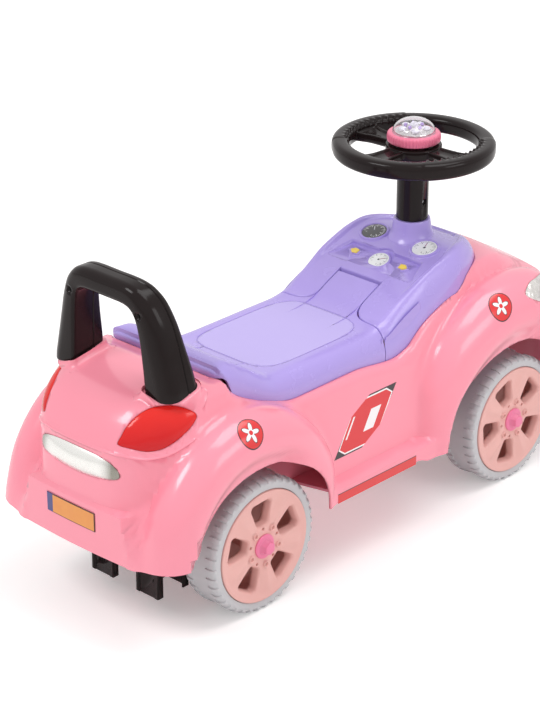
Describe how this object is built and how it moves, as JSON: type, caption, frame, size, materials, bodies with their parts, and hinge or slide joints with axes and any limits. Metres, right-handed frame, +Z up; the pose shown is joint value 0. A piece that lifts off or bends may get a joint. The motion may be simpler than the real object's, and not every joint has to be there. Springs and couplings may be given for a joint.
{
  "type": "kids push car",
  "caption": "Ride-on push car for a small child: moulded body on road wheels, steering wheel with a button, lift-up seat over a storage box, and a push handle.",
  "frame": {"origin": "on the floor, in the middle of the car's bounding box", "axes": "+Y towards the front of the car, +X towards its right side, +Z up"},
  "size_m": [0.27, 0.7096, 0.4248],
  "materials": {
    "pink_plastic": "gloss",
    "purple_plastic": "satin",
    "black_plastic": "gloss",
    "steel": "zinc plated",
    "gauge_face": "printed foil",
    "yellow_plastic": "satin",
    "lamp_red": "foil",
    "silver_foil": "metallised",
    "plate_orange": "foil",
    "clear_dome": "clear",
    "cap_pink": "satin",
    "grey_tyre": "matte",
    "pale_pink_hub": "satin"
  },
  "bodies": {
    "chassis": {"body_shell": "pink_plastic", "floor_pan": "pink_plastic", "storage_tub": "pink_plastic", "hinge_pin": "steel", "dash_console": "purple_plastic", "gauge_left": "gauge_face", "gauge_middle": "gauge_face", "gauge_right": "gauge_face", "indicator_left": "yellow_plastic", "indicator_right": "yellow_plastic", "handle_rear_half": "black_plastic", "handle_front_half": "black_plastic", "handle_screw_left": "steel", "handle_screw_right": "steel", "tail_lamp_left": "lamp_red", "tail_lamp_right": "lamp_red", "headlamp_left": "silver_foil", "headlamp_right": "silver_foil", "rear_garnish": "silver_foil", "number_plate": "plate_orange", "rear_axle": "steel", "axle_bracket_left": "black_plastic", "axle_bracket_right": "black_plastic", "rear_stopper": "black_plastic", "front_beam": "black_plastic", "king_pin_left": "steel", "king_pin_right": "steel", "pan_screw_1": "steel", "pan_screw_2": "steel", "pan_screw_3": "steel", "pan_screw_4": "steel"},
    "seat": {"seat_lid": "purple_plastic"},
    "steering": {"steering_rod": "steel", "steering_crank": "steel", "column_tube": "black_plastic", "column_screw": "steel", "steering_wheel": "black_plastic"},
    "button": {"button_ring": "cap_pink", "button_dome": "clear_dome", "button_reflector": "silver_foil"},
    "tie_rod": {"tie_rod": "steel"},
    "knuckle_left": {"knuckle_left": "black_plastic", "stub_axle_left": "steel"},
    "knuckle_right": {"knuckle_right": "black_plastic", "stub_axle_right": "steel"},
    "front_wheel_left": {"front_wheel_left_tyre": "grey_tyre", "front_wheel_left_hub": "pale_pink_hub", "front_wheel_left_cap": "cap_pink"},
    "front_wheel_right": {"front_wheel_right_tyre": "grey_tyre", "front_wheel_right_hub": "pale_pink_hub", "front_wheel_right_cap": "cap_pink"},
    "rear_wheel_left": {"rear_wheel_left_tyre": "grey_tyre", "rear_wheel_left_hub": "pale_pink_hub", "rear_wheel_left_cap": "cap_pink"},
    "rear_wheel_right": {"rear_wheel_right_tyre": "grey_tyre", "rear_wheel_right_hub": "pale_pink_hub", "rear_wheel_right_cap": "cap_pink"}
  },
  "joints": [
    {"name": "seat_hinge", "type": "hinge", "parent": "chassis", "child": "seat", "pos_m": [0, -0.2075, 0.2665], "axis": [1, 0, 0], "range_deg": [0, 80]},
    {"name": "steering_turn", "type": "hinge", "parent": "chassis", "child": "steering", "pos_m": [0, 0.178, 0.308], "axis": [0, 0, 1], "range_deg": [-30, 30]},
    {"name": "button_press", "type": "slide", "parent": "steering", "child": "button", "axis": [0, 0, -1], "range_m": [0, 0.0025], "stiffness_N_per_m": 400, "springref_m": -0.003},
    {"name": "tie_rod_slide", "type": "slide", "parent": "chassis", "child": "tie_rod", "axis": [1, 0, 0], "range_m": [-0.0096, 0.0096]},
    {"name": "knuckle_turn_left", "type": "hinge", "parent": "chassis", "child": "knuckle_left", "pos_m": [-0.052, 0.23, 0.075], "axis": [0, 0, 1], "range_deg": [-30.5, 30.5]},
    {"name": "knuckle_turn_right", "type": "hinge", "parent": "chassis", "child": "knuckle_right", "pos_m": [0.052, 0.23, 0.075], "axis": [0, 0, 1], "range_deg": [-30.5, 30.5]},
    {"name": "front_wheel_left_spin", "type": "hinge", "parent": "knuckle_left", "child": "front_wheel_left", "pos_m": [-0.091, 0.23, 0.075], "axis": [1, 0, 0], "continuous": true},
    {"name": "front_wheel_right_spin", "type": "hinge", "parent": "knuckle_right", "child": "front_wheel_right", "pos_m": [0.091, 0.23, 0.075], "axis": [1, 0, 0], "continuous": true},
    {"name": "rear_wheel_left_spin", "type": "hinge", "parent": "chassis", "child": "rear_wheel_left", "pos_m": [-0.091, -0.18, 0.075], "axis": [1, 0, 0], "continuous": true},
    {"name": "rear_wheel_right_spin", "type": "hinge", "parent": "chassis", "child": "rear_wheel_right", "pos_m": [0.091, -0.18, 0.075], "axis": [1, 0, 0], "continuous": true}
  ],
  "couplings": [
    {"joint": "tie_rod_slide", "follows": "steering_turn", "m_per_rad": -0.0176},
    {"joint": "knuckle_turn_left", "follows": "steering_turn", "ratio": 1},
    {"joint": "knuckle_turn_right", "follows": "steering_turn", "ratio": 1}
  ]
}
